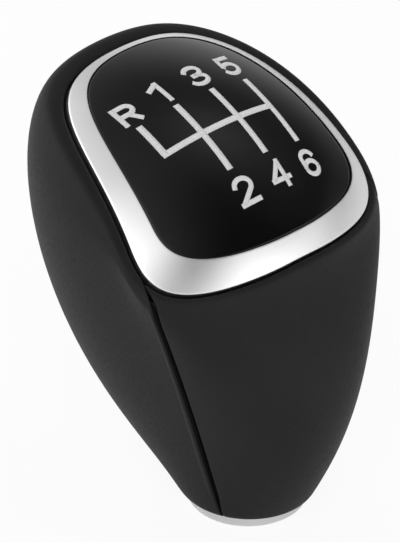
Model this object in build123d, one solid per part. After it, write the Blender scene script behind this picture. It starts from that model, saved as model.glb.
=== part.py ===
from build123d import *
import os
from math import atan, cos, degrees, pi, radians, sin, sqrt

# Gear shift knob: a moulded core wrapped in two sewn leather panels, with a domed pattern cap in a
# satin bezel on the slanted crown, a brass thread insert for the lever and a trim ring at the foot.
# Millimetres. Origin at the foot, on the lever axis. +Z up the lever, the driver's side is -Y.

# Crown: the spherical top shared by bezel and cap, leaning towards the driver
crown_radius = 47.5
crown_tilt = 38.5
crown_y = -1.5
crown_z = 64.4

# Bezel outline seen along the crown's axis: reach to front, back and sides, and the sides' taper.
# The powers set how square the front and back corners are.
bezel_front = 16.0
bezel_back = 30.5
bezel_side = 24.0
bezel_taper = 9.5
bezel_front_power = 2.05
bezel_back_power = 4.0
bezel_thickness = 3.2
bezel_edge_radius = 0.6

# Visible band of the bezel round the cap
band_front = 4.0
band_back = 1.2
band_side = 3.5
cap_taper = 6.5
cap_front_power = 2.05
cap_back_power = 3.5

# Pattern cap, its ledge in the bezel and its two locating pins
cap_thickness = 1.8
cap_edge_radius = 0.3
cap_clearance = 0.12
ledge_width = 1.0
pin_radius = 1.4
pin_length = 4.0
pin_spacing = 18.0
pin_clearance = 0.1

# Bezel clips that snap into windows in the core
clip_width = 7.0
clip_thickness = 1.2
clip_length = 5.0
clip_barb = 0.5
clip_setback = 0.4
clip_clearance = 0.2

# Leather wrap: foot rim, thickness, rolled top edge tucked round the bezel, and the seam plane
leather_radius = 11.5
leather_thickness = 1.0
roll_radius = 1.5
tuck_depth = 1.8
hem_width = 0.8
tuck_clearance = 0.15
seam_y = -4.5
seam_gap = 0.3

# Swell of the wrap at back, side and front: how far it flares and climbs out of the foot,
# and how far it stands out from and drops below the crown's edge
flare_back = 34.5
flare_side = 13.5
flare_front = 16.0
climb_back = 16.5
climb_side = 46.0
climb_front = 22.0
shoulder_back = 11.5
shoulder_side = 3.0
shoulder_front = 4.0
drop_back = 0.0
drop_side = 1.5
drop_front = 5.0

# Foot ring with its spigot, the lever socket and the thread insert (M10, bored to the minor diameter)
ring_height = 2.4
ring_inset = 0.6
ring_round = 0.6
spigot_wall = 1.6
spigot_length = 6.0
spigot_clearance = 0.1
socket_radius = 7.2
insert_bottom = 14.0
insert_length = 24.0
insert_radius = 8.6
insert_groove_radius = 6.8
insert_groove_width = 4.0
insert_clearance = 0.05
thread_radius = 4.33
thread_chamfer = 0.8
tip_radius = 5.6
tip_depth = 5.0

# Flat middle of the hollow under the crown: its share of the bezel's outline and its depth
hollow_share = 0.6
hollow_depth = 9.5

# Number of faces round the wrap, and the step used to find slopes and to match edges
patches = 16
nudge = 0.001

lean = radians(crown_tilt)
crown = Plane(origin=(0, crown_y, crown_z), x_dir=(1, 0, 0), z_dir=(0, -sin(lean), cos(lean)))
crown_center = crown.origin - crown.z_dir * crown_radius
up = Vector(0, 0, 1)


def around(theta, back, side, front):
    """Blend three values round the knob: theta is 0 at the back, pi/2 at the side, pi in front."""
    c = cos(theta)
    return side + (back - front) / 2 * c + ((back + front) / 2 - side) * c * c


def soft_outline(theta, front, back, side, taper, front_power, back_power):
    """Polar radius of a rounded trapezoid: its straight sides are blended by a power."""
    c = cos(theta)
    slant = radians(taper)
    power = (front_power + back_power) / 2 + (back_power - front_power) / 2 * c
    across = max(abs(sin(theta)) * cos(slant) + c * sin(slant), 0)
    terms = (max(-c, 0) / front, max(c, 0) / back, across / side)
    return sum(term**power for term in terms) ** (-1 / power)


def bezel_outline(theta, grow=0.0):
    return soft_outline(theta, bezel_front + grow, bezel_back + grow, bezel_side + grow,
                        bezel_taper, bezel_front_power, bezel_back_power)


def cap_outline(theta, grow=0.0):
    return soft_outline(theta, bezel_front - band_front + grow, bezel_back - band_back + grow,
                        bezel_side - band_side + grow, cap_taper, cap_front_power, cap_back_power)


def sag(distance):
    """Height that the crown has lost at a distance from its axis."""
    return crown_radius - sqrt(crown_radius**2 - distance**2)


def spoke(theta):
    """Outward direction in the foot's plane."""
    return Vector(sin(theta), cos(theta), 0)


def crown_spoke(theta):
    """Outward direction in the crown's plane."""
    return crown.x_dir * sin(theta) + crown.y_dir * cos(theta)


def crown_point(theta, reach, drop):
    return crown.origin + crown_spoke(theta) * reach - crown.z_dir * drop


def cubic(curve, start, end):
    """Bezier points of the cubic that follows a curve of theta from start to end."""
    third = (end - start) / 3
    slopes = [(curve(t + nudge) - curve(t - nudge)) * (third / (2 * nudge)) for t in (start, end)]
    return [curve(start), curve(start) + slopes[0], curve(end) - slopes[1], curve(end)]


def sectors():
    return [(2 * pi * i / patches, 2 * pi * (i + 1) / patches) for i in range(patches)]


def band(curves):
    """Ring of bicubic faces whose control rows follow four closed curves of theta."""
    return [Face.make_bezier_surface([cubic(c, a, b) for c in curves]) for a, b in sectors()]


def disc(curve):
    """Flat face inside a closed planar curve of theta."""
    return Face(Wire([Edge.make_bezier(*cubic(curve, a, b)) for a, b in sectors()]))


def prism(outline, grow, low, high):
    """Straight column along the crown's axis with a given outline, between two heights."""
    base = disc(lambda theta: crown_point(theta, outline(theta, grow), -low))
    return Solid.extrude(base, crown.z_dir * (high - low))


def dome(depth):
    """Ball whose surface lies a given depth under the crown."""
    return Solid.make_sphere(crown_radius - depth, Plane(crown_center))


def meridian(theta, inset, foot_z):
    """Control points of the wrap's arc from foot to crown edge, moved inwards by an inset."""
    reach = bezel_outline(theta, roll_radius)
    shoulder = around(theta, shoulder_back, shoulder_side, shoulder_front)
    foot = spoke(theta) * leather_radius + up * ring_height
    foot_pull = foot + spoke(theta) * around(theta, flare_back, flare_side, flare_front)
    foot_pull += up * around(theta, climb_back, climb_side, climb_front)
    edge = crown_point(theta, reach, sag(reach))
    edge_pull = edge + crown_spoke(theta) * shoulder
    edge_pull -= crown.z_dir * around(theta, drop_back, drop_side, drop_front)
    points = [foot, foot_pull, edge_pull, edge]
    legs = [points[i + 1] - points[i] for i in range(3)]
    turns = [spoke(theta + pi / 2), crown_spoke(theta + pi / 2)]
    turns.insert(1, turns[0] + turns[1])
    normals = [leg.cross(turn).normalized() for leg, turn in zip(legs, turns)]
    miters = [(m + n) * (1 / (1 + m.dot(n))) for m, n in zip(normals, normals[1:])]
    moved = [p - n * inset for p, n in zip(points, [normals[0], *miters, normals[2]])]
    moved[0] -= legs[0] * ((moved[0].Z - foot_z) / legs[0].Z)
    moved[3] += legs[2] * ((moved[3] - edge).dot(crown_spoke(theta)) / shoulder)
    return moved


def wrap_edge(theta, inset):
    """Depth of the wrap's crest under the crown's plane."""
    return (crown.origin - meridian(theta, inset, ring_height)[3]).dot(crown.z_dir)


def wrap(inset, foot_z):
    """Solid inside the leather at a depth below its outer face, with the crown's pocket sunk in."""
    bend = roll_radius - inset
    rows = [lambda theta, i=i: meridian(theta, inset, foot_z)[i] for i in range(4)]

    def pocket(theta, drop):
        reach = bezel_outline(theta, tuck_clearance + inset)
        return crown_point(theta, reach, wrap_edge(theta, inset) + drop)

    def crest(theta):
        return pocket(theta, 0)

    def wall(theta):
        return pocket(theta, bend)

    def groove(theta):
        return pocket(theta, bend + tuck_depth)

    def hollow(theta):
        return crown_point(theta, hollow_share * bezel_outline(theta), hollow_depth + inset)

    def slope(share):
        return lambda theta: groove(theta) * (1 - share) + hollow(theta) * share

    faces = band(rows) + band([rows[3], crest, wall, groove])
    faces += band([groove, slope(1 / 3), slope(2 / 3), hollow])
    return Solid(Shell([*faces, disc(rows[0]), disc(hollow)]))


tuck_floor = max(wrap_edge(a, leather_thickness) for a, b in sectors()) + roll_radius + tuck_depth
headroom = crown_radius / 2


def column(radius, low, high):
    """Round column on the lever axis."""
    return Solid.make_cylinder(radius, high - low, Plane((0, 0, low)))


def clip_box(theta, grow):
    """Clip leg under the bezel, square to its outline, with room to spare where it is a window."""
    reach = bezel_outline(theta) - clip_setback - clip_thickness / 2
    slope = (bezel_outline(theta + nudge) - bezel_outline(theta - nudge)) / (2 * nudge)
    skew = Rot(0, 0, degrees(atan(slope / bezel_outline(theta))))
    top = -sag(reach) - (cap_thickness + bezel_thickness) / 2
    low = -sag(reach) - bezel_thickness - clip_length - grow
    seat = crown * Rot(0, 0, -degrees(theta)) * Pos(0, reach, (top + low) / 2) * skew
    leg = Box(clip_width + 2 * grow, clip_thickness + 2 * grow, top - low)
    barb = Box(clip_width + 2 * grow, clip_barb, clip_barb * 2 + 2 * grow)
    barb_y = -(clip_thickness + clip_barb) / 2 - grow
    return seat * leg + seat * Pos(0, barb_y, (low - top) / 2 + clip_barb + grow) * barb


def clips(grow):
    return [clip_box(i * pi / 2, grow) for i in range(4)]


def pins(radius):
    """Locating pins under the cap, each from the cap's underside down into the core."""
    low = -cap_thickness - pin_length - sag(pin_spacing / 2)
    pin = Solid.make_cylinder(radius, -cap_thickness / 2 - low)
    return [crown * Pos(x, 0, low) * pin for x in (-pin_spacing / 2, pin_spacing / 2)]


def insert_blank(grow):
    """Hexagonal brass blank with a turned groove that keys it into the core."""
    hexagon = Plane.XY.offset(insert_bottom - grow) * RegularPolygon(insert_radius + grow, 6)
    blank = extrude(hexagon, insert_length + 2 * grow)
    middle = insert_bottom + insert_length / 2
    half = insert_groove_width / 2 - grow
    groove = column(2 * insert_radius, middle - half, middle + half)
    return blank - (groove - column(insert_groove_radius + grow, middle - half, middle + half))


def bezel_room():
    """Space that the bezel takes up, with its clearance."""
    return prism(bezel_outline, tuck_clearance, -tuck_floor, headroom) - dome(bezel_thickness)


def make_blank():
    """Core before its bores are cut: the form under the leather, with a seat for the bezel on top."""
    seat = prism(bezel_outline, -hem_width, -tuck_floor, headroom) & dome(bezel_thickness)
    return wrap(leather_thickness, ring_height - roll_radius) + seat - bezel_room()


def make_core(blank):
    core = blank - column(2 * leather_radius, ring_height - 2 * roll_radius, ring_height)
    core -= column(socket_radius, 0, insert_bottom)
    core -= column(socket_radius + spigot_wall + spigot_clearance, 0,
                   ring_height + spigot_length + spigot_clearance)
    core -= insert_blank(insert_clearance)
    core -= column(tip_radius, insert_bottom, insert_bottom + insert_length + tip_depth)
    return core - clips(clip_clearance) - pins(pin_radius + pin_clearance)


def crown_edges(solid):
    """Edges of a piece that lie on the crown's surface."""
    heights = [(edge, (edge.position_at(0.5) - crown_center).length) for edge in solid.edges()]
    return [edge for edge, height in heights if abs(height - crown_radius) < nudge]


def make_bezel():
    body = prism(bezel_outline, 0, -tuck_floor, headroom) & (dome(0) - dome(bezel_thickness))
    body = fillet(crown_edges(body), bezel_edge_radius)
    rebate = prism(cap_outline, cap_clearance, -tuck_floor, headroom) - dome(cap_thickness)
    opening = prism(cap_outline, -ledge_width, -tuck_floor, headroom)
    return body - rebate - opening + clips(0)


def make_cap():
    body = prism(cap_outline, 0, -tuck_floor, headroom) & (dome(0) - dome(cap_thickness))
    return fillet(crown_edges(body), cap_edge_radius) + pins(pin_radius)


def make_insert():
    top = insert_bottom + insert_length
    bore = column(thread_radius, insert_bottom, top)
    mouth = Plane((0, 0, insert_bottom))
    lead = Solid.make_cone(thread_radius + thread_chamfer, thread_radius, thread_chamfer, mouth)
    return insert_blank(0) - bore - lead


def make_base_ring():
    outer = leather_radius - ring_inset
    flange = fillet(column(outer, 0, ring_height).edges().group_by(Axis.Z)[0], ring_round)
    spigot = column(socket_radius + spigot_wall, 0, ring_height + spigot_length)
    return flange + spigot - column(socket_radius, 0, ring_height + spigot_length)


blank = make_blank()
leather = wrap(0, ring_height) - blank - bezel_room() - clips(clip_clearance)
span = 4 * crown_radius
ahead = Pos(0, seam_y - seam_gap / 2 - span / 2, 0) * Box(span, span, span)
behind = Pos(0, seam_y + seam_gap / 2 + span / 2, 0) * Box(span, span, span)

nodes = {
    "knob_core": make_core(blank),
    "lever_insert": make_insert(),
    "rear_leather_panel": leather & behind,
    "front_leather_panel": leather & ahead,
    "bezel_ring": make_bezel(),
    "pattern_cap": make_cap(),
    "base_ring": make_base_ring(),
}

os.makedirs("parts", exist_ok=True)
for name, solid in nodes.items():
    export_step(solid, f"parts/{name}.step")
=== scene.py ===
import math

import bpy
import numpy as np
from mathutils import Matrix


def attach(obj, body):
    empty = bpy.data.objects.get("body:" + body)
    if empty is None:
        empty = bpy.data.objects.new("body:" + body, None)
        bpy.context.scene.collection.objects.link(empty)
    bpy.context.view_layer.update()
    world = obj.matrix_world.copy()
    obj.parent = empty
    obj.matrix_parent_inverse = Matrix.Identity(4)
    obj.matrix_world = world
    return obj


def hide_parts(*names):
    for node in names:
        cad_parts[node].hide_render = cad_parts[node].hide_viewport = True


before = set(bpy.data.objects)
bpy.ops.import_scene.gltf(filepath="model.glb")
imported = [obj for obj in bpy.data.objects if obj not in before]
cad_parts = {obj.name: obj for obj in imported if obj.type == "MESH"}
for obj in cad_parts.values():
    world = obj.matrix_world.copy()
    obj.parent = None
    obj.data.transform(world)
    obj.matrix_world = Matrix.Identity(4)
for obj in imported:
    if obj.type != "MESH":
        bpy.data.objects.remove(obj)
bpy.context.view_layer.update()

# Shapes are worked out in millimetres in the frame of the CAD and put into meshes in metres
millimetre = 0.001
bpy.context.scene.view_settings.view_transform = "Standard"

# The crown is a ball's surface that leans towards the driver; bezel, cap and print lie on it
crown = {"radius": 47.5, "tilt": 38.5, "origin": (0.0, -1.5, 64.4)}
lean = math.radians(crown["tilt"])
crownOrigin = np.array(crown["origin"])
crownRight = np.array((1.0, 0.0, 0.0))
crownBack = np.array((0.0, math.cos(lean), math.sin(lean)))
crownUp = np.array((0.0, -math.sin(lean), math.cos(lean)))


def domeHeight(distance, depth=0.0):
    # height over the crown's plane of a ball's surface that lies a depth under the crown
    return np.sqrt((crown["radius"] - depth) ** 2 - distance**2) - crown["radius"]


def crownSpoke(theta):
    # outward direction in the crown's plane: theta is 0 at the back, half pi at the right, pi in front
    return np.sin(theta)[..., None] * crownRight + np.cos(theta)[..., None] * crownBack


def crownPoint(theta, reach, height):
    # from the crown's origin out along the spoke by the reach, then up by the height
    return crownOrigin + crownSpoke(theta) * reach[..., None] + height[..., None] * crownUp


def softOutline(theta, front, back, side, taper, frontPower, backPower):
    # polar radius of a rounded trapezoid: straight front, back and slanting sides blended by a power
    c = np.cos(theta)
    slant = math.radians(taper)
    power = (frontPower + backPower) / 2 + (backPower - frontPower) / 2 * c
    across = np.abs(np.sin(theta)) * math.cos(slant) + c * math.sin(slant)
    total = (np.maximum(-c, 0) / front) ** power + (np.maximum(c, 0) / back) ** power
    return (total + (np.maximum(across, 0) / side) ** power) ** (-1 / power)


def smoothStep(value):
    # 0 up to 0, 1 from 1 on, and between them three squares less two cubes
    value = np.clip(value, 0, 1)
    return value * value * (3 - 2 * value)


def addObject(name, data):
    made = bpy.data.objects.new(name, data)
    bpy.context.scene.collection.objects.link(made)
    return made


def putMesh(name, points, faces, material):
    mesh = bpy.data.meshes.new(name)
    mesh.from_pydata((np.asarray(points) * millimetre).tolist(), [], faces)
    mesh.polygons.foreach_set("use_smooth", np.ones(len(mesh.polygons), dtype=bool))
    mesh.materials.append(material)
    mesh.validate()
    return addObject(name, mesh)


def gridFaces(rows, columns, rowsClosed=False, columnsClosed=False, first=0):
    # quads between neighbours of a rows by columns grid, counted row after row
    index = first + np.arange(rows * columns).reshape(rows, columns)
    if rowsClosed:
        index = np.vstack([index, index[:1]])
    if columnsClosed:
        index = np.hstack([index, index[:, :1]])
    corners = (index[:-1, :-1], index[:-1, 1:], index[1:, 1:], index[1:, :-1])
    return np.stack(corners, -1).reshape(-1, 4).tolist()


def turned(faces):
    # the same faces seen from their other side
    return [face[::-1] for face in faces]


def place(piece, nodes):
    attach(piece, "root")
    for node in nodes:
        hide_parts(node)


# Shader maths: one wrapped socket, on which operators add Math nodes
class Shade:
    def __init__(self, tree, socket=None):
        self.tree = tree
        self.socket = socket

    def node(self, kind, settings=None, sockets=None, output=0):
        made = self.tree.nodes.new(kind)
        for key, value in (settings or {}).items():
            if key == "stops":
                fillRamp(made.color_ramp, value)
            else:
                setattr(made, key, value)
        for key, value in (sockets or {}).items():
            if isinstance(value, Shade):
                self.tree.links.new(value.socket, made.inputs[key])
            else:
                made.inputs[key].default_value = value
        return Shade(self.tree, made.outputs[output] if made.outputs else None)

    def math(self, operation, left, right):
        return self.node("ShaderNodeMath", {"operation": operation}, {0: left, 1: right})

    def __add__(self, other):
        return self.math("ADD", self, other)

    def __radd__(self, other):
        return self.math("ADD", other, self)

    def __sub__(self, other):
        return self.math("SUBTRACT", self, other)

    def __rsub__(self, other):
        return self.math("SUBTRACT", other, self)

    def __mul__(self, other):
        return self.math("MULTIPLY", self, other)

    def __rmul__(self, other):
        return self.math("MULTIPLY", other, self)

    def __pow__(self, other):
        return self.math("POWER", self, other)


def fillRamp(colourRamp, stops):
    # a new ramp has two stops, black and white
    for element, (position, value) in zip(colourRamp.elements, stops):
        element.position = position
        element.color = (value, value, value, 1.0)


def newMaterial(name):
    material = bpy.data.materials.new(name)
    material.use_nodes = True
    material.node_tree.nodes.clear()
    return material, Shade(material.node_tree)


def objectPoint(shade):
    return shade.node("ShaderNodeTexCoord", output="Object")


def surface(shade, fixed, linked):
    # a Principled surface: fixed numbers sit on its sockets, what varies is linked
    shader = shade.node("ShaderNodeBsdfPrincipled", None, {**fixed, **linked})
    shade.node("ShaderNodeOutputMaterial", None, {"Surface": shader})


def mixColour(shade, factor, first, second):
    # sockets 6 and 7 of a Mix node are its two colours, and output 2 is the mixed colour
    colours = {0: factor, 6: (*first, 1.0), 7: (*second, 1.0)}
    return shade.node("ShaderNodeMix", {"data_type": "RGBA"}, colours, 2)


def noise(shade, point, scale, detail=2.0, roughness=0.5, output=0):
    sockets = {"Vector": point, "Scale": scale, "Detail": detail, "Roughness": roughness}
    return shade.node("ShaderNodeTexNoise", None, sockets, output)


def ramp(shade, value, low, high):
    # 0 below low, 1 above high
    return shade.node("ShaderNodeValToRGB", {"stops": ((low, 0.0), (high, 1.0))}, {"Fac": value})


def bump(shade, height, strength, distance):
    sockets = {"Height": height, "Strength": strength, "Distance": distance}
    return shade.node("ShaderNodeBump", None, sockets)


# Leather: dark dyed hide with a fine pebble grain, pores and faint uneven dye
leatherLook = {
    "dark": (0.0075, 0.0075, 0.0077),
    "light": (0.0130, 0.0128, 0.0127),
    "specular": 0.2,
    "pebbleScale": 1500.0,
    "pebbleSmoothness": 0.6,
    "driftScale": 900.0,
    "drift": 0.0005,
    "poreScale": 5200.0,
    "dyeScale": 55.0,
    "tint": {"dye": 0.75, "pores": 0.25, "low": 0.3, "high": 0.7},
    "relief": {"pebbles": 0.8, "pores": 0.35, "strength": 0.5, "depth": 0.00006},
    "roughness": {"base": 0.47, "dye": 0.12, "pebbles": 0.1},
}


def leatherMaterial():
    look = leatherLook
    tint, relief, rough = (look[key] for key in ("tint", "relief", "roughness"))
    material, shade = newMaterial("leather")
    point = objectPoint(shade)
    drift = noise(shade, point, look["driftScale"], detail=1.0, output="Color")
    bent = shade.node("ShaderNodeVectorMath", {"operation": "MULTIPLY_ADD"},
                      {0: drift, 1: (look["drift"],) * 3, 2: point})
    pebble = shade.node("ShaderNodeTexVoronoi", {"feature": "SMOOTH_F1"},
                        {"Vector": bent, "Scale": look["pebbleScale"],
                         "Smoothness": look["pebbleSmoothness"]})
    pores = noise(shade, point, look["poreScale"], detail=3.0, roughness=0.6)
    dye = noise(shade, point, look["dyeScale"], detail=3.0, roughness=0.55)
    height = (1.0 - pebble) * relief["pebbles"] + pores * relief["pores"]
    tinted = ramp(shade, dye * tint["dye"] + pores * tint["pores"], tint["low"], tint["high"])
    surface(shade, {"Specular IOR Level": look["specular"]}, {
        "Base Color": mixColour(shade, tinted, look["dark"], look["light"]),
        "Roughness": rough["base"] + dye * rough["dye"] + pebble * rough["pebbles"],
        "Normal": bump(shade, height, relief["strength"], relief["depth"]),
    })
    return material


# Satin metal of bezel and foot ring: bead-blasted, with a trace of uneven plating
satinLook = {
    "bezel": {"pale": (0.87, 0.87, 0.875), "deep": (0.82, 0.82, 0.83), "roughness": 0.27},
    "ring": {"pale": (0.88, 0.88, 0.885), "deep": (0.82, 0.82, 0.825), "roughness": 0.3},
    "cloudScale": 90.0, "cloudLow": 0.3, "cloudHigh": 0.7, "cloudRoughness": 0.06,
    "gritScale": 9000.0, "gritRoughness": 0.05, "gritStrength": 0.12, "gritDepth": 0.00001,
}


def satinMaterial(name, metal):
    look = satinLook
    material, shade = newMaterial(name)
    point = objectPoint(shade)
    cloud = noise(shade, point, look["cloudScale"])
    grit = noise(shade, point, look["gritScale"], roughness=0.6)
    clouded = ramp(shade, cloud, look["cloudLow"], look["cloudHigh"])
    rough = metal["roughness"] + cloud * look["cloudRoughness"] + grit * look["gritRoughness"]
    surface(shade, {"Metallic": 1.0}, {
        "Base Color": mixColour(shade, clouded, metal["deep"], metal["pale"]),
        "Roughness": rough,
        "Normal": bump(shade, grit, look["gritStrength"], look["gritDepth"]),
    })
    return material


# Gloss cap: deep black polished plastic with a faint polishing haze
capLook = {
    "deep": (0.0022, 0.0022, 0.0024), "hazy": (0.0042, 0.0042, 0.0046), "specular": 0.5,
    "hazeScale": 260.0, "roughness": 0.035, "hazeRoughness": 0.05,
}


def capMaterial():
    look = capLook
    material, shade = newMaterial("glossBlack")
    haze = noise(shade, objectPoint(shade), look["hazeScale"], detail=4.0, roughness=0.6)
    surface(shade, {"Specular IOR Level": look["specular"]}, {
        "Base Color": mixColour(shade, haze, look["deep"], look["hazy"]),
        "Roughness": look["roughness"] + haze * look["hazeRoughness"],
    })
    return material


# Print: pale pad-printed ink, slightly broken up
inkLook = {
    "thin": (0.58, 0.58, 0.58), "full": (0.74, 0.74, 0.74), "specular": 0.3,
    "speckScale": 4200.0, "speckLow": 0.35, "speckHigh": 0.65, "roughness": 0.4, "speckRoughness": 0.15,
}


def printMaterial():
    look = inkLook
    material, shade = newMaterial("paleInk")
    speck = noise(shade, objectPoint(shade), look["speckScale"], detail=3.0, roughness=0.65)
    broken = ramp(shade, speck, look["speckLow"], look["speckHigh"])
    surface(shade, {"Specular IOR Level": look["specular"]}, {
        "Base Color": mixColour(shade, broken, look["thin"], look["full"]),
        "Roughness": look["roughness"] + speck * look["speckRoughness"],
    })
    return material


# Core plastic: moulded, with a spark-eroded texture
coreLook = {
    "dark": (0.006, 0.006, 0.0062), "light": (0.014, 0.014, 0.0143), "specular": 0.15,
    "gritScale": 3000.0, "roughness": 0.6, "gritRoughness": 0.15, "gritStrength": 0.3, "gritDepth": 0.00003,
}


def coreMaterial():
    look = coreLook
    material, shade = newMaterial("corePlastic")
    grit = noise(shade, objectPoint(shade), look["gritScale"], detail=3.0, roughness=0.6)
    surface(shade, {"Specular IOR Level": look["specular"]}, {
        "Base Color": mixColour(shade, grit, look["dark"], look["light"]),
        "Roughness": look["roughness"] + grit * look["gritRoughness"],
        "Normal": bump(shade, grit, look["gritStrength"], look["gritDepth"]),
    })
    return material


# Insert brass: turned, with fine tool rings across the axis and dull patches
brassLook = {
    "deep": (0.55, 0.38, 0.13), "pale": (0.78, 0.6, 0.27), "dullScale": 350.0,
    "ringScale": 900.0, "ringDistortion": 0.6, "ringStrength": 0.15, "ringDepth": 0.00002,
    "roughness": 0.24, "dullRoughness": 0.15,
}


def brassMaterial():
    look = brassLook
    material, shade = newMaterial("turnedBrass")
    point = objectPoint(shade)
    rings = shade.node("ShaderNodeTexWave", {"bands_direction": "Z"},
                       {"Vector": point, "Scale": look["ringScale"], "Distortion": look["ringDistortion"]})
    dull = noise(shade, point, look["dullScale"], detail=3.0)
    surface(shade, {"Metallic": 1.0}, {
        "Base Color": mixColour(shade, dull, look["deep"], look["pale"]),
        "Roughness": look["roughness"] + dull * look["dullRoughness"],
        "Normal": bump(shade, rings, look["ringStrength"], look["ringDepth"]),
    })
    return material


leather = leatherMaterial()
bezelSatin = satinMaterial("bezelSatin", satinLook["bezel"])
ringSatin = satinMaterial("ringSatin", satinLook["ring"])
print("materials made:", len(bpy.data.materials))

# Bezel: reach of its outline seen along the crown's axis, its section, its edges and its mesh
bezel = {
    "front": 16.0, "back": 30.5, "side": 24.0, "taper": 9.5, "frontPower": 2.15, "backPower": 4.0,
    "thickness": 3.2, "edge": 0.2, "innerEdge": 0.12, "ledge": 1.0, "gap": 0.12, "bandTilt": 10.0,
    "steps": 384, "wallSteps": 6, "edgeSteps": 8, "bandSteps": 16, "innerEdgeSteps": 5,
    "wellSteps": 4, "ledgeSteps": 3, "underSteps": 8,
}
# Cap: how far inside the bezel's outline it stays, its own taper and corners, and its mesh
cap = {
    "bandFront": 4.0, "bandBack": 1.2, "bandSide": 3.5, "taper": 6.5, "frontPower": 2.05, "backPower": 3.5,
    "thickness": 1.8, "edge": 0.3,
    "steps": 384, "topRings": 48, "edgeSteps": 6, "sideSteps": 4, "underRings": 12,
}


def bezelOutline(theta, grow=0.0, frontPower=bezel["frontPower"]):
    return softOutline(theta, bezel["front"] + grow, bezel["back"] + grow, bezel["side"] + grow,
                       bezel["taper"], frontPower, bezel["backPower"])


def capOutline(theta, grow=0.0):
    front, back, side = (bezel[way] - cap["band" + way.title()] + grow for way in ("front", "back", "side"))
    return softOutline(theta, front, back, side, cap["taper"], cap["frontPower"], cap["backPower"])


def blend(first, last, steps):
    # straight run from first to last, without its last point: one column for each step
    share = np.linspace(0, 1, steps, endpoint=False)
    return first[:, None] * (1 - share) + last[:, None] * share


def rounded(start, corner, end, steps):
    # corner rounded by a quadratic curve from start to end, without its last point
    share = np.linspace(0, 1, steps, endpoint=False)
    weights = ((1 - share) ** 2, 2 * share * (1 - share), share**2)
    return sum(point[:, None] * weight for point, weight in zip((start, corner, end), weights))


def carryRound(theta, section):
    # section runs of (reach from the crown's axis, height over its plane) carried round the outline
    reach, height = (np.hstack(runs) for runs in zip(*section))
    return crownPoint(np.broadcast_to(theta[:, None], reach.shape), reach, height)


def makeBezel():
    # closed section of wall, outer edge, band, inner edge, well, ledge, its lip and the underside
    theta = np.linspace(0, 2 * np.pi, bezel["steps"], endpoint=False)
    outer = bezelOutline(theta)
    inner = capOutline(theta, bezel["gap"])
    lip = capOutline(theta, -bezel["ledge"])
    edge, innerEdge, thick, deep = bezel["edge"], bezel["innerEdge"], bezel["thickness"], cap["thickness"]
    middle = (outer + inner) / 2

    def bandHeight(reach):
        # the crown's height, turned outwards a little about the middle of the band
        lower = np.tan(np.radians(bezel["bandTilt"])) * (reach.T - middle).T
        return domeHeight(reach) - lower

    top, innerTop = bandHeight(outer), bandHeight(inner)
    band = blend(outer - edge, inner + innerEdge, bezel["bandSteps"])
    ledge = blend(inner, lip, bezel["ledgeSteps"])
    under = blend(lip, outer, bezel["underSteps"])
    section = [
        (blend(outer, outer, bezel["wallSteps"]),
         blend(domeHeight(outer, thick), top - edge, bezel["wallSteps"])),
        (rounded(outer, outer, outer - edge, bezel["edgeSteps"]),
         rounded(top - edge, top, bandHeight(outer - edge), bezel["edgeSteps"])),
        (band, bandHeight(band)),
        (rounded(inner + innerEdge, inner, inner, bezel["innerEdgeSteps"]),
         rounded(bandHeight(inner + innerEdge), innerTop, innerTop - innerEdge, bezel["innerEdgeSteps"])),
        (blend(inner, inner, bezel["wellSteps"]),
         blend(innerTop - innerEdge, domeHeight(inner, deep), bezel["wellSteps"])),
        (ledge, domeHeight(ledge, deep)),
        (blend(lip, lip, bezel["ledgeSteps"]),
         blend(domeHeight(lip, deep), domeHeight(lip, thick), bezel["ledgeSteps"])),
        (under, domeHeight(under, thick)),
    ]
    points = carryRound(theta, section)
    faces = gridFaces(*points.shape[:2], rowsClosed=True, columnsClosed=True)
    piece = putMesh("bezel_band", points.reshape(-1, 3), faces, bezelSatin)
    place(piece, ["bezel_ring"])


def makeCap():
    # section from the crown's pole over the dome and the edge, down the side and back under to a pole
    theta = np.linspace(0, 2 * np.pi, cap["steps"], endpoint=False)
    rim = capOutline(theta)
    edge, deep = cap["edge"], cap["thickness"]
    rimTop = domeHeight(rim)
    dome = (rim - edge)[:, None] * np.linspace(0, 1, cap["topRings"] + 1)[1:]
    under = rim[:, None] * np.linspace(1, 0, cap["underRings"] + 1)[:-1]
    section = [
        (dome, domeHeight(dome)),
        (rounded(rim - edge, rim, rim, cap["edgeSteps"])[:, 1:],
         rounded(domeHeight(rim - edge), rimTop, rimTop - edge, cap["edgeSteps"])[:, 1:]),
        (blend(rim, rim, cap["sideSteps"]), blend(rimTop - edge, domeHeight(rim, deep), cap["sideSteps"])),
        (under, domeHeight(under, deep)),
    ]
    points = carryRound(theta, section)
    steps, rings = points.shape[:2]
    poles = [crownOrigin, crownOrigin - crownUp * deep]
    first = np.arange(steps) * rings
    after = np.roll(first, -1)
    topFan = np.stack([np.full(steps, steps * rings), first, after], -1)
    underFan = np.stack([np.full(steps, steps * rings + 1), after + rings - 1, first + rings - 1], -1)
    faces = gridFaces(steps, rings, rowsClosed=True) + topFan.tolist() + underFan.tolist()
    piece = putMesh("gloss_cap", np.vstack([points.reshape(-1, 3), poles]), turned(faces), capMaterial())
    place(piece, ["pattern_cap"])


makeBezel()
makeCap()
print("bezel and cap made")

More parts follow.
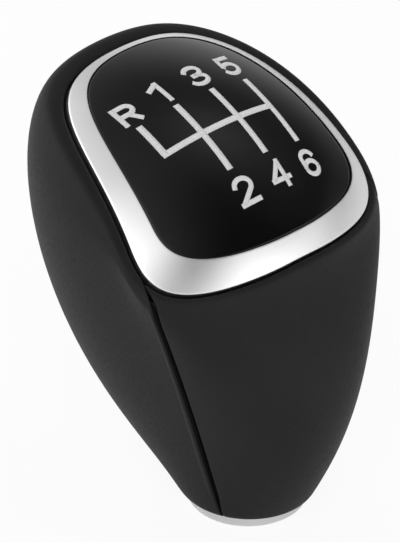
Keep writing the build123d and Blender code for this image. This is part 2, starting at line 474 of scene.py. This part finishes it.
# Shift pattern in crown millimetres, right and back from the crown's centre; a sign has its width and height
pattern = {
    "columns": (-12.4, -4.78, 3.08, 10.88), "bar": 8.85, "bow": 0.0024, "rise": (6.1, 6.5, 6.5, 5.9),
    "fall": 7.5, "lineWidth": 1.15, "barWidth": 1.05, "penWidth": 0.86,
    "lift": 0.03, "sink": 0.05, "spacing": 0.2, "straightPoints": 24, "curvePoints": 48, "barPoints": 60,
    "signs": {"R": (-12.1, 17.85, 3.9, 4.2), "1": (-5.2, 18.6, 3.6, 4.55), "3": (3.03, 18.75, 4.2, 4.7),
              "5": (10.65, 18.3, 4.0, 4.55), "2": (-4.55, -2.83, 4.1, 5.1), "4": (2.98, -2.8, 4.3, 5.1),
              "6": (10.5, -3.1, 3.7, 5.0)},
}


def straight(start, end):
    return np.linspace(start, end, pattern["straightPoints"])


def curved(centre, radii, fromDegrees, toDegrees):
    # arc of an ellipse, counted from the right and up
    angle = np.radians(np.linspace(fromDegrees, toDegrees, pattern["curvePoints"]))
    return np.array(centre) + np.stack([np.cos(angle), np.sin(angle)], -1) * radii


# Pen paths of the signs in a box from -1 to 1
penPaths = {
    "R": [straight((-1, -1), (-1, 1)),
          np.vstack([straight((-1, 1), (0.2, 1)), curved((0.2, 0.47), (0.72, 0.53), 89, -89),
                     straight((0.19, -0.06), (-1, -0.06))]),
          straight((0.18, -0.2), (0.85, -0.95))],
    "1": [straight((0.55, -1), (0.55, 1)), straight((-0.75, 0.55), (0.35, 0.93))],
    "2": [np.vstack([curved((0, 0.42), (0.95, 0.58), 168, -32), straight((0.76, 0.04), (-0.75, -0.85))]),
          straight((-1, -1), (1, -1))],
    "3": [curved((-0.03, 0.5), (0.93, 0.5), 155, -88), curved((-0.02, -0.49), (1.0, 0.51), 88, -155),
          straight((-0.3, 0.0), (0.05, 0.0))],
    "4": [straight((0.48, -1), (0.48, 1)), straight((0.28, 0.8), (-0.88, -0.3)),
          straight((-1, -0.45), (1, -0.45))],
    "5": [straight((0.82, 1), (-0.7, 1)), straight((-0.72, 1), (-0.85, 0.15)),
          curved((-0.02, -0.37), (1.0, 0.63), 142, -152)],
    "6": [curved((0, -0.42), (1.0, 0.58), 0, 360),
          np.vstack([curved((0.0, 0.45), (1.0, 0.55), 20, 179), straight((-1, 0.4), (-1, -0.42))])],
}


def ribbon(path, width, extend):
    # flat bar of a width carried along a path on the crown; its ends run on by a length
    heads = path[[0, -1]] - path[[1, -2]]
    heads *= extend / np.linalg.norm(heads, axis=1, keepdims=True)
    path = np.vstack([path[0] + heads[0], path, path[-1] + heads[1]])
    travel = np.concatenate([[0], np.cumsum(np.linalg.norm(np.diff(path, axis=0), axis=1))])
    even = np.linspace(0, travel[-1], int(travel[-1] / pattern["spacing"]) + 2)
    path = np.stack([np.interp(even, travel, path[:, axis]) for axis in range(2)], -1)
    run = np.gradient(path, axis=0)
    run /= np.linalg.norm(run, axis=1, keepdims=True)
    side = np.stack([-run[:, 1], run[:, 0]], -1) * (width / 2)
    flat = np.stack([path + side, path + side, path - side, path - side], 1)
    lift = np.array((-pattern["sink"], pattern["lift"], pattern["lift"], -pattern["sink"]))
    height = domeHeight(np.linalg.norm(flat, axis=-1)) + lift
    return (crownOrigin + flat[..., :1] * crownRight + flat[..., 1:] * crownBack
            + height[..., None] * crownUp)


def patternStrokes():
    # the bowed bar, a line for each column and the signs, each as a path, a width and a run-on
    columns, bar, bow = pattern["columns"], pattern["bar"], pattern["bow"]
    middle = (columns[0] + columns[-1]) / 2
    across = np.linspace(columns[0], columns[-1], pattern["barPoints"])
    barPath = np.stack([across, bar - bow * (across - middle) ** 2], -1)
    strokes = [(barPath, pattern["barWidth"], pattern["barWidth"] / 2)]
    for number, (column, rise) in enumerate(zip(columns, pattern["rise"])):
        low = bar - bow * (column - middle) ** 2 - (pattern["fall"] if number else 0)
        strokes.append((straight((column, low), (column, bar + rise)), pattern["lineWidth"], 0.0))
    pen = pattern["penWidth"]
    for sign, (right, back, width, height) in pattern["signs"].items():
        half = (np.array((width, height)) - pen) / 2
        strokes += [(path * half + (right, back), pen, pen / 2) for path in penPaths[sign]]
    return strokes


def makePrint():
    points, faces = [], []
    count = 0
    for path, width, extend in patternStrokes():
        bar = ribbon(path, width, extend)
        rows, corners = bar.shape[:2]
        start = count + np.arange(corners)
        end = start + corners * (rows - 1)
        faces += gridFaces(rows, corners, columnsClosed=True, first=count)
        faces += [start[::-1].tolist(), end.tolist()]
        points.append(bar.reshape(-1, 3))
        count += rows * corners
    piece = putMesh("shift_print", np.vstack(points), faces, printMaterial())
    place(piece, [])


makePrint()
print("print laid on the cap")

# Leather wrap: the foot rim, the swell at back, side and front, the rolled top edge and the mesh
wrap = {
    "footRadius": 11.5, "footHeight": 2.2, "lip": 1.3,
    "flare": (35.7, 15.8, 17.5), "climb": (20.1, 51.1, 30.4),
    "shoulder": (11.75, 3.2, 5.8), "drop": (0.0, 1.0, 8.0), "frontPower": 2.05,
    "rollReach": 1.5, "rollLevel": 0.35, "rollDrop": 0.6, "tuckDepth": 2.0, "tuckGap": 0.08,
    "skin": 0.5, "softening": 60, "rows": 190, "profilePoints": 3001, "profileLines": 9,
    "crowding": 3.0, "footCrowd": 1.5, "rollCrowd": 0.6, "rollLead": 2.0,
}
# Seam: its line, how far it bends back and closes up, over a (start, span) of the stage or a span from 0
seamLine = {
    "y": -4.6, "back": 3.2, "backOver": (0.75, 0.6), "gap": 0.65,
    "closeTop": 0.3, "closeTopOver": (0.8, 0.25), "closeFoot": 0.6, "closeFootOver": 0.04,
    "ridgeFootOver": 0.125, "ridgeTopOver": (0.55, 0.3), "ridgeFlat": 0.25,
    "between": (0.3, math.pi - 0.05), "halvings": 45, "turnSteps": 4,
}
# Seam edges of the two panels: rounding, depth of the turned-in edge, and the ridge of the folded hem
rearSeam = {"round": 0.4, "turn": 0.9, "ridge": 0.28, "ridgeWidth": 1.0, "columns": 200}
frontSeam = {"round": 0.8, "turn": 0.7, "ridge": 0.0, "ridgeWidth": 1.0, "columns": 140}


def around(theta, values):
    # blend of back, side and front values by the cosine of theta and its square
    back, side, front = values
    c = np.cos(theta)
    return side + (back - front) / 2 * c + ((back + front) / 2 - side) * c * c


def cubic(points, share):
    # cubic curve with four control points, share from 0 to 1
    share = share[..., None]
    weights = ((1 - share) ** 3, 3 * share * (1 - share) ** 2, 3 * share**2 * (1 - share), share**3)
    return sum(point * weight for point, weight in zip(points, weights))


def wrapPoint(theta, stage):
    # stage -1 to 0 runs out along the foot's lip, 0 to 1 up the wall, 1 to 2 over the roll and down the tuck
    outward = np.stack([np.sin(theta), np.cos(theta), np.zeros_like(theta)], -1)
    lift = np.array((0.0, 0.0, 1.0))
    flare, climb = (around(theta, wrap[key])[..., None] for key in ("flare", "climb"))
    foot = outward * wrap["footRadius"] + lift * wrap["footHeight"]
    footPull = foot + outward * flare + lift * climb
    reach = bezelOutline(theta, wrap["rollReach"], wrap["frontPower"])
    crest = domeHeight(reach)
    edge = crownPoint(theta, reach, crest)
    edgePull = crownPoint(theta, reach + around(theta, wrap["shoulder"]), crest - around(theta, wrap["drop"]))
    inside = bezelOutline(theta, wrap["tuckGap"])
    top = domeHeight(inside) - wrap["rollLevel"]
    bends = (0.0, wrap["rollDrop"], wrap["rollDrop"] + wrap["tuckDepth"])
    tuck = [edge] + [crownPoint(theta, inside, top - bend) for bend in bends]
    wall = cubic((foot, footPull, edgePull, edge), np.clip(stage, 0, 1))
    roll = cubic(tuck, np.clip(stage - 1, 0, 1))
    lip = foot + outward * (np.minimum(stage, 0) * wrap["lip"])[..., None]
    return np.where((stage < 0)[..., None], lip, np.where((stage <= 1)[..., None], wall, roll))


def rowStages():
    # stages evenly spaced by the profile's mean length, closer together at the foot and over the roll
    stage = np.linspace(-1, 2, wrap["profilePoints"])
    lines = wrapPoint(*np.meshgrid(np.linspace(0, math.pi, wrap["profileLines"]), stage))
    lengths = np.linalg.norm(np.diff(lines, axis=0), axis=-1).mean(axis=1)
    walked = np.concatenate([[0], np.cumsum(lengths)])
    foot, edge = np.interp((0, 1), stage, walked)
    nearFoot = np.exp(-((walked - foot) / wrap["footCrowd"]) ** 2)
    onRoll = 1 / (1 + np.exp((edge - wrap["rollLead"] - walked) / wrap["rollCrowd"]))
    crowd = 1 + wrap["crowding"] * (nearFoot + onRoll)
    crowded = np.concatenate([[0], np.cumsum(lengths * crowd[1:])])
    return np.interp(np.linspace(0, crowded[-1], wrap["rows"]), crowded, stage)


def seamAngle(stage, y):
    # angle at which each row of the wrap crosses the seam, found by halving
    low, high = (np.full_like(stage, bound) for bound in seamLine["between"])
    for _ in range(seamLine["halvings"]):
        middle = (low + high) / 2
        behind = wrapPoint(middle, stage)[..., 1] > y
        low, high = np.where(behind, middle, low), np.where(behind, high, middle)
    return (low + high) / 2


def stepOver(stage, key):
    start, span = seamLine[key]
    return smoothStep((stage - start) / span)


def soften(points, rounds):
    # each inner row moves to the mean of its two neighbours and itself, which counts twice
    for _ in range(rounds):
        points[1:-1] = (points[:-2] + 2 * points[1:-1] + points[2:]) / 4
    return points


def makePanel(name, node, seam, middleAngle):
    # rows run from foot to tuck, columns from one seam to the other round the middle angle
    stage = rowStages()
    side = 1 if middleAngle == 0 else -1
    seamY = seamLine["y"] + seamLine["back"] * stepOver(stage, "backOver")
    # the gap and the rounding of its edges close up at the foot and over the roll
    tight = (1 - seamLine["closeTop"] * stepOver(stage, "closeTopOver")
             - seamLine["closeFoot"] * smoothStep(1 - stage / seamLine["closeFootOver"]))
    seamAt = seamAngle(stage, seamY + side * seamLine["gap"] / 2 * tight)
    spread = seamAt if side == 1 else math.pi - seamAt
    share = np.sin(np.linspace(-1, 1, seam["columns"]) * math.pi / 2)
    theta = middleAngle + spread[:, None] * share
    points = soften(wrapPoint(theta, np.broadcast_to(stage[:, None], theta.shape)), wrap["softening"])
    normals = np.cross(np.gradient(points, axis=1), np.gradient(points, axis=0))
    normals /= np.linalg.norm(normals, axis=-1, keepdims=True)
    normals *= -1 if normals[wrap["rows"] // 2, seam["columns"] // 2, 1] * side < 0 else 1
    # the hem's ridge and the rounded edge, by the distance from the nearer seam
    steps = np.linalg.norm(np.diff(points, axis=1), axis=-1)
    walked = np.hstack([np.zeros((len(stage), 1)), np.cumsum(steps, axis=1)])
    away = np.minimum(walked, walked[:, -1:] - walked)
    bevel = seam["round"] * tight[:, None]
    fall = np.clip(1 - away / bevel, 0, 1)
    fade = smoothStep(stage / seamLine["ridgeFootOver"]) * (1 - stepOver(stage, "ridgeTopOver"))
    hem = 1 - smoothStep(away / seam["ridgeWidth"] - seamLine["ridgeFlat"])
    height = seam["ridge"] * fade[:, None] * hem - bevel * (1 - np.sqrt(1 - fall**2))
    points = points + normals * height[..., None]
    # the flat cut: longest row by longest column, and the area of the finished face
    # the two diagonals of each quad of the panel
    diagonals = points[1:, 1:] - points[:-1, :-1], points[1:, :-1] - points[:-1, 1:]
    # both seam edges turn in
    turn = -np.linspace(0, 1, seamLine["turnSteps"] + 1)[1:] * seam["turn"]
    left = points[:, :1] + normals[:, :1] * turn[::-1, None]
    right = points[:, -1:] + normals[:, -1:] * turn[:, None]
    points = np.concatenate([left, points, right], axis=1)
    faces = turned(gridFaces(*points.shape[:2]))
    piece = putMesh(name, points.reshape(-1, 3), faces, leather)
    skin = piece.modifiers.new("skin", "SOLIDIFY")
    skin.thickness = wrap["skin"] * millimetre
    skin.offset = -1
    place(piece, [node])


makePanel("leather_rear", "rear_leather_panel", rearSeam, 0.0)
makePanel("leather_front", "front_leather_panel", frontSeam, math.pi)
print("leather panels made")

# Foot ring: a turned section of flange and spigot
footRing = {
    "outer": 10.2, "spigot": 8.8, "bore": 7.2, "flange": 2.4, "length": 8.4, "edge": 0.6,
    "steps": 256, "edgePoints": 9, "sharpAngle": 35.0,
}


def makeFootRing():
    # section of a rounded lower corner, flange, spigot and bore, turned about the lever's axis
    ring = footRing
    edge = ring["edge"]
    quarter = np.radians(np.linspace(-90, 0, ring["edgePoints"]))
    corner = np.stack([ring["outer"] - edge + edge * np.cos(quarter), edge + edge * np.sin(quarter)], -1)
    rest = np.array([(ring["outer"], ring["flange"]), (ring["spigot"], ring["flange"]),
                     (ring["spigot"], ring["length"]), (ring["bore"], ring["length"]), (ring["bore"], 0.0)])
    section = np.vstack([corner, rest])
    turn = np.linspace(0, 2 * np.pi, ring["steps"], endpoint=False)[:, None]
    points = np.stack([section[:, 0] * np.cos(turn), section[:, 0] * np.sin(turn),
                       np.broadcast_to(section[:, 1], (ring["steps"], len(section)))], -1)
    faces = turned(gridFaces(ring["steps"], len(section), rowsClosed=True, columnsClosed=True))
    piece = putMesh("foot_ring", points.reshape(-1, 3), faces, ringSatin)
    piece.data.set_sharp_from_angle(angle=math.radians(ring["sharpAngle"]))
    place(piece, ["base_ring"])


def dressNode(node, material):
    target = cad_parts[node]
    target.data.materials.clear()
    target.data.materials.append(material)


makeFootRing()
dressNode("knob_core", coreMaterial())
dressNode("lever_insert", brassMaterial())
print("foot ring made, core and insert dressed")

# Studio: pale floor, soft lamps and a bright room behind the knob
studio = {
    "floorSize": 3.0,
    "floorLevel": -0.00005,
    "floorColour": (0.9, 0.9, 0.9),
    "floorGlow": 0.9,
    "floorGlossy": 0.12,
    "ambient": 0.4,
    "lampTarget": (0.0, 0.0, 0.04),
    "lamps": {
        "key": {"at": (-0.55, -0.45, 0.75), "size": 0.6, "power": 4.5},
        "fill": {"at": (0.6, -0.6, 0.45), "size": 0.7, "power": 2.0},
        "back": {"at": (0.25, 0.7, 0.6), "size": 0.7, "power": 3.0},
    },
    # what gloss and metal see of the room: soft glows by direction and pale bands over the floor
    "roomBase": 0.005,
    "roomGlows": {
        "leftSoftbox": {"toward": (-0.62, -0.5, 0.62), "focus": 8.0, "level": 0.64},
        "leftWall": {"toward": (-0.9, -0.1, 0.45), "focus": 8.0, "level": 1.98},
        "backLeftWall": {"toward": (-0.5, 0.75, 0.4), "focus": 6.0, "level": 2.11},
        "backWall": {"toward": (0.3, 0.85, 0.45), "focus": 6.0, "level": 0.42},
        "backRightWall": {"toward": (0.8, 0.55, 0.2), "focus": 10.0, "level": 0.65},
        "ceiling": {"toward": (-0.1, 0.0, 1.0), "focus": 8.0, "level": 0.33},
        "topRight": {"toward": (0.5, -0.1, 0.85), "focus": 30.0, "level": 0.38},
        "rightSoftbox": {"toward": (0.7, -0.3, 0.65), "focus": 16.0, "level": 0.15},
        "leftLow": {"toward": (-1.0, -0.3, 0.15), "focus": 12.0, "level": 0.39},
    },
    "lowFade": (0.12, 0.28),
    "lowGlows": {
        "frontBand": {"toward": (0.42, -0.9, 0.0), "focus": 5.0, "level": 0.82},
        "frontStrip": {"toward": (0.15, -1.0, 0.0), "focus": 14.0, "level": 1.6},
        "frontRight": {"toward": (0.6, -0.8, 0.0), "focus": 14.0, "level": 0.35},
    },
    "roundFade": (0.10, 0.26),
    "roundBand": 0.31,
    "roundDip": {"toward": (1.0, 0.0, 0.0), "focus": 4.0, "level": 0.8},
}


def rays(shade):
    return [shade.node("ShaderNodeLightPath", output=name) for name in ("Is Camera Ray", "Is Glossy Ray")]


def makeFloor():
    half = studio["floorSize"] / 2
    mesh = bpy.data.meshes.new("floor")
    corners = [(-half, -half), (half, -half), (half, half), (-half, half)]
    mesh.from_pydata([(x, y, studio["floorLevel"]) for x, y in corners], [], [(0, 1, 2, 3)])
    floor = addObject("floor", mesh)
    material, shade = newMaterial("paleFloor")
    seen, glossy = rays(shade)
    diffuse = shade.node("ShaderNodeBsdfDiffuse", None, {"Color": (*studio["floorColour"], 1.0)})
    glow = shade.node("ShaderNodeEmission", None, {"Color": (1, 1, 1, 1), "Strength": 1.0})
    share = seen * studio["floorGlow"] + glossy * studio["floorGlossy"]
    shown = shade.node("ShaderNodeMixShader", None, {0: share, 1: diffuse, 2: glow})
    # the floor can be looked through from below
    under = shade.node("ShaderNodeNewGeometry", output="Backfacing")
    clear = shade.node("ShaderNodeBsdfTransparent")
    oneSided = shade.node("ShaderNodeMixShader", None, {0: under, 1: shown, 2: clear})
    shade.node("ShaderNodeOutputMaterial", None, {"Surface": oneSided})
    mesh.materials.append(material)


def makeWorld():
    # a white backdrop for the camera, the room for glossy rays and an even light for the rest
    world = bpy.data.worlds.new("studioRoom")
    world.use_nodes = True
    world.node_tree.nodes.clear()
    shade = Shade(world.node_tree)
    seen, glossy = rays(shade)
    way = shade.node("ShaderNodeTexCoord", output="Generated")

    def along(direction):
        return shade.node("ShaderNodeVectorMath", {"operation": "DOT_PRODUCT"}, {0: way, 1: direction}, 1)

    def lobe(glow):
        # brightness round a direction: cosine of the angle to it, raised to a power
        length = math.hypot(*glow["toward"])
        cosine = along([value / length for value in glow["toward"]])
        return glow["level"] * shade.math("MAXIMUM", cosine, 0.0) ** glow["focus"]

    def lowBand(start, height):
        # 1 near the floor, fading out over a height
        fade = {"Value": along((0, 0, 1)), "From Min": start, "From Max": start + height}
        return 1.0 - shade.node("ShaderNodeMapRange", {"interpolation_type": "SMOOTHSTEP"}, fade)

    dip = 1.0 - lobe(studio["roundDip"])
    room = studio["roomBase"] + studio["roundBand"] * lowBand(*studio["roundFade"]) * dip
    for glow in studio["roomGlows"].values():
        room = room + lobe(glow)
    for glow in studio["lowGlows"].values():
        room = room + lowBand(*studio["lowFade"]) * lobe(glow)
    strength = seen + glossy * room + (1.0 - seen - glossy) * studio["ambient"]
    sky = shade.node("ShaderNodeBackground", None, {"Color": (1, 1, 1, 1), "Strength": strength})
    shade.node("ShaderNodeOutputWorld", None, {"Surface": sky})
    bpy.context.scene.world = world


def lookFrom(location, backward):
    # axes of a lamp or camera at a location whose back points along backward
    back = backward / np.linalg.norm(backward)
    right = np.cross((0.0, 0.0, 1.0), back)
    right /= np.linalg.norm(right)
    up = np.cross(back, right)
    matrix = np.eye(4)
    matrix[:3] = np.stack([right, up, back, location], -1)
    return Matrix(matrix.tolist())


def makeLamps():
    for name, lamp in studio["lamps"].items():
        data = bpy.data.lights.new(name, "AREA")
        data.shape = "DISK"
        data.size = lamp["size"]
        data.energy = lamp["power"]
        lampObject = addObject(name, data)
        at = np.array(lamp["at"])
        lampObject.matrix_world = lookFrom(at, at - np.array(studio["lampTarget"]))
        lampObject.visible_glossy = False


# Camera: the photo's direction, distance and framing; the target is on the lever axis, then moved in the view
view = {
    "azimuth": -44.16, "elevation": 31.0, "distance": 500.0, "axisHeight": 72.4, "right": -8.04, "up": -24.31,
    "pixelsPerMillimetre": 6.31, "longSide": 542, "sensor": 36.0, "clipStart": 0.01,
}


def makeCamera():
    azimuth, elevation = math.radians(view["azimuth"]), math.radians(view["elevation"])
    level = math.cos(elevation)
    back = np.array((math.sin(azimuth) * level, -math.cos(azimuth) * level, math.sin(elevation)))
    right = np.array((math.cos(azimuth), math.sin(azimuth), 0.0))
    moved = right * view["right"] + np.cross(back, right) * view["up"]
    target = np.array((0.0, 0.0, view["axisHeight"])) + moved
    data = bpy.data.cameras.new("camera")
    data.sensor_width = view["sensor"]
    data.lens = view["pixelsPerMillimetre"] * view["distance"] / view["longSide"] * view["sensor"]
    data.clip_start = view["clipStart"]
    camera = addObject("camera", data)
    camera.matrix_world = lookFrom((target + back * view["distance"]) * millimetre, back)
    bpy.context.scene.camera = camera


makeFloor()
makeWorld()
makeLamps()
makeCamera()
print("studio and camera set")
